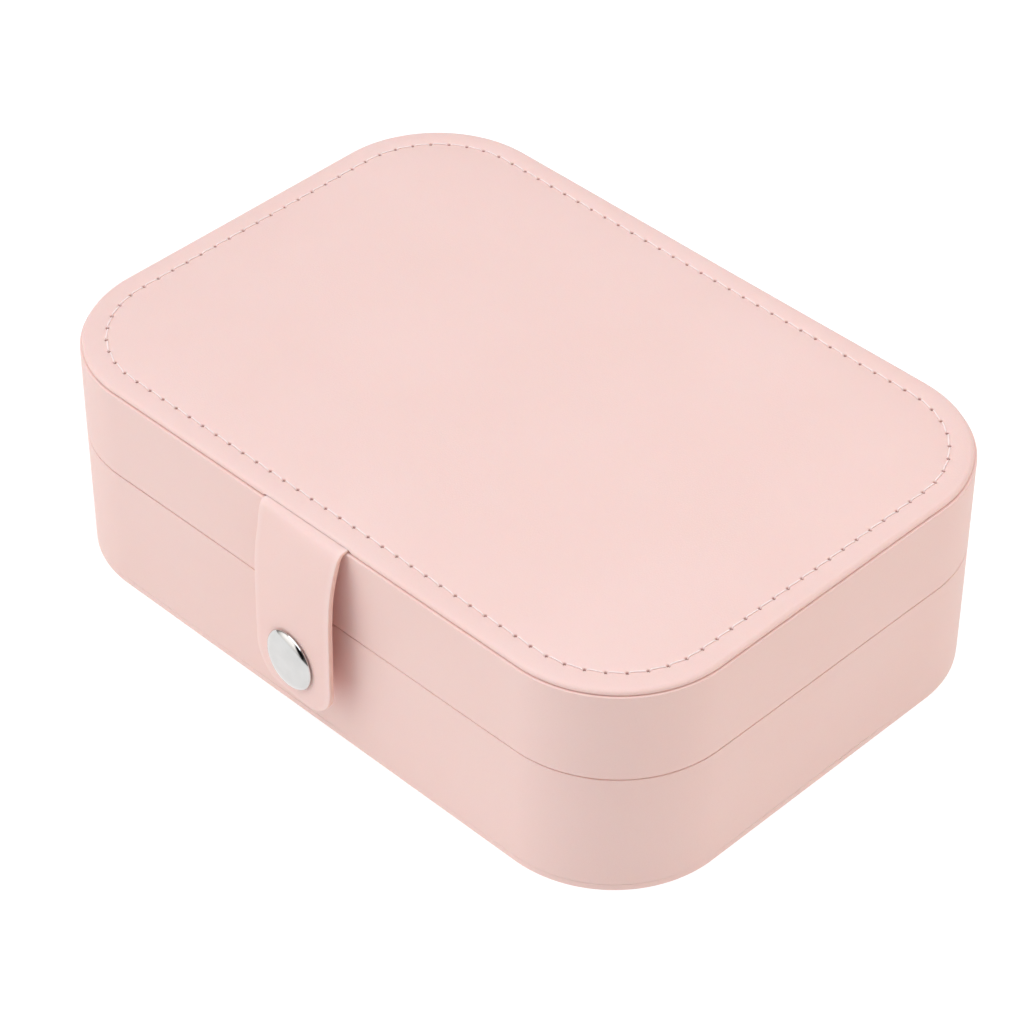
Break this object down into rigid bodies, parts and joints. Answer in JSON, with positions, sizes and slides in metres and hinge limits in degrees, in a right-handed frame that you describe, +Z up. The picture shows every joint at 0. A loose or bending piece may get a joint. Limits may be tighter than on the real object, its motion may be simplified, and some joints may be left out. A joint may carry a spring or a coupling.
{
  "type": "jewellery case",
  "caption": "Rounded leather-covered jewellery case with a padded stitched lid on a leather hinge, a snap strap at the front, and a velvet inside with dividers, ring pads and a lid pocket.",
  "frame": {"origin": "middle of the underside of the bottom cover", "axes": "+X along the length, towards the right as the strap is faced; +Y towards the hinge at the back, so the strap is on -Y; +Z up, out of the lid's top"},
  "size_m": [0.165, 0.1244, 0.0518],
  "materials": {
    "leather": "fine smooth grain, satin, powder pink",
    "velvet": "short pile velvet",
    "satin": "satin weave, gathered",
    "board": "grey board, uncoated",
    "foam": "open cell foam",
    "steel": "bright nickel plate"
  },
  "bodies": {
    "base": {"bottom_cover": "leather", "base_wall_frame": "board", "base_side_wrap": "leather", "base_floor_board": "board", "base_wall_lining": "velvet", "base_floor_pad": "velvet", "long_divider_left": "velvet", "long_divider_right": "velvet", "cross_divider_left": "velvet", "cross_divider_right": "velvet", "ring_pad_1": "velvet", "ring_pad_2": "velvet", "ring_pad_3": "velvet", "ring_pad_4": "velvet", "ring_pad_5": "velvet", "ring_pad_6": "velvet", "ring_pad_7": "velvet", "ring_pad_8": "velvet", "snap_stud": "steel", "snap_post": "steel", "hinge_strip_lower": "leather"},
    "lid": {"lid_wall_frame": "board", "lid_side_wrap": "leather", "lid_top_board": "board", "lid_top_foam": "foam", "lid_top_cover": "leather", "lid_wall_lining": "velvet", "lid_ceiling_pad": "velvet", "lid_pocket": "satin", "pocket_hem": "satin", "necklace_panel": "leather", "tab_stud_left": "steel", "tab_stud_middle": "steel", "tab_stud_right": "steel", "hinge_strip_upper": "leather", "strap_tail": "leather"},
    "strap": {"strap_front_ply": "leather", "strap_back_ply": "leather", "snap_cap": "steel", "snap_socket": "steel", "snap_spring": "steel"},
    "tab_left": {"necklace_tab_left": "leather", "tab_cap_left": "steel", "tab_socket_left": "steel"},
    "tab_middle": {"necklace_tab_middle": "leather", "tab_cap_middle": "steel", "tab_socket_middle": "steel"},
    "tab_right": {"necklace_tab_right": "leather", "tab_cap_right": "steel", "tab_socket_right": "steel"}
  },
  "joints": [
    {"name": "lid_hinge", "type": "hinge", "parent": "base", "child": "lid", "pos_m": [0, 0.0591, 0.029], "axis": [-1, 0, 0], "range_deg": [0, 105]},
    {"name": "strap_bend", "type": "hinge", "parent": "lid", "child": "strap", "pos_m": [0, -0.05845, 0.0502], "axis": [-1, 0, 0], "range_deg": [0, 100]},
    {"name": "tab_left_bend", "type": "hinge", "parent": "lid", "child": "tab_left", "pos_m": [-0.04, -0.0415, 0.0447], "axis": [-1, 0, 0], "range_deg": [0, 90]},
    {"name": "tab_middle_bend", "type": "hinge", "parent": "lid", "child": "tab_middle", "pos_m": [0, -0.0415, 0.0447], "axis": [-1, 0, 0], "range_deg": [0, 90]},
    {"name": "tab_right_bend", "type": "hinge", "parent": "lid", "child": "tab_right", "pos_m": [0.04, -0.0415, 0.0447], "axis": [-1, 0, 0], "range_deg": [0, 90]}
  ]
}
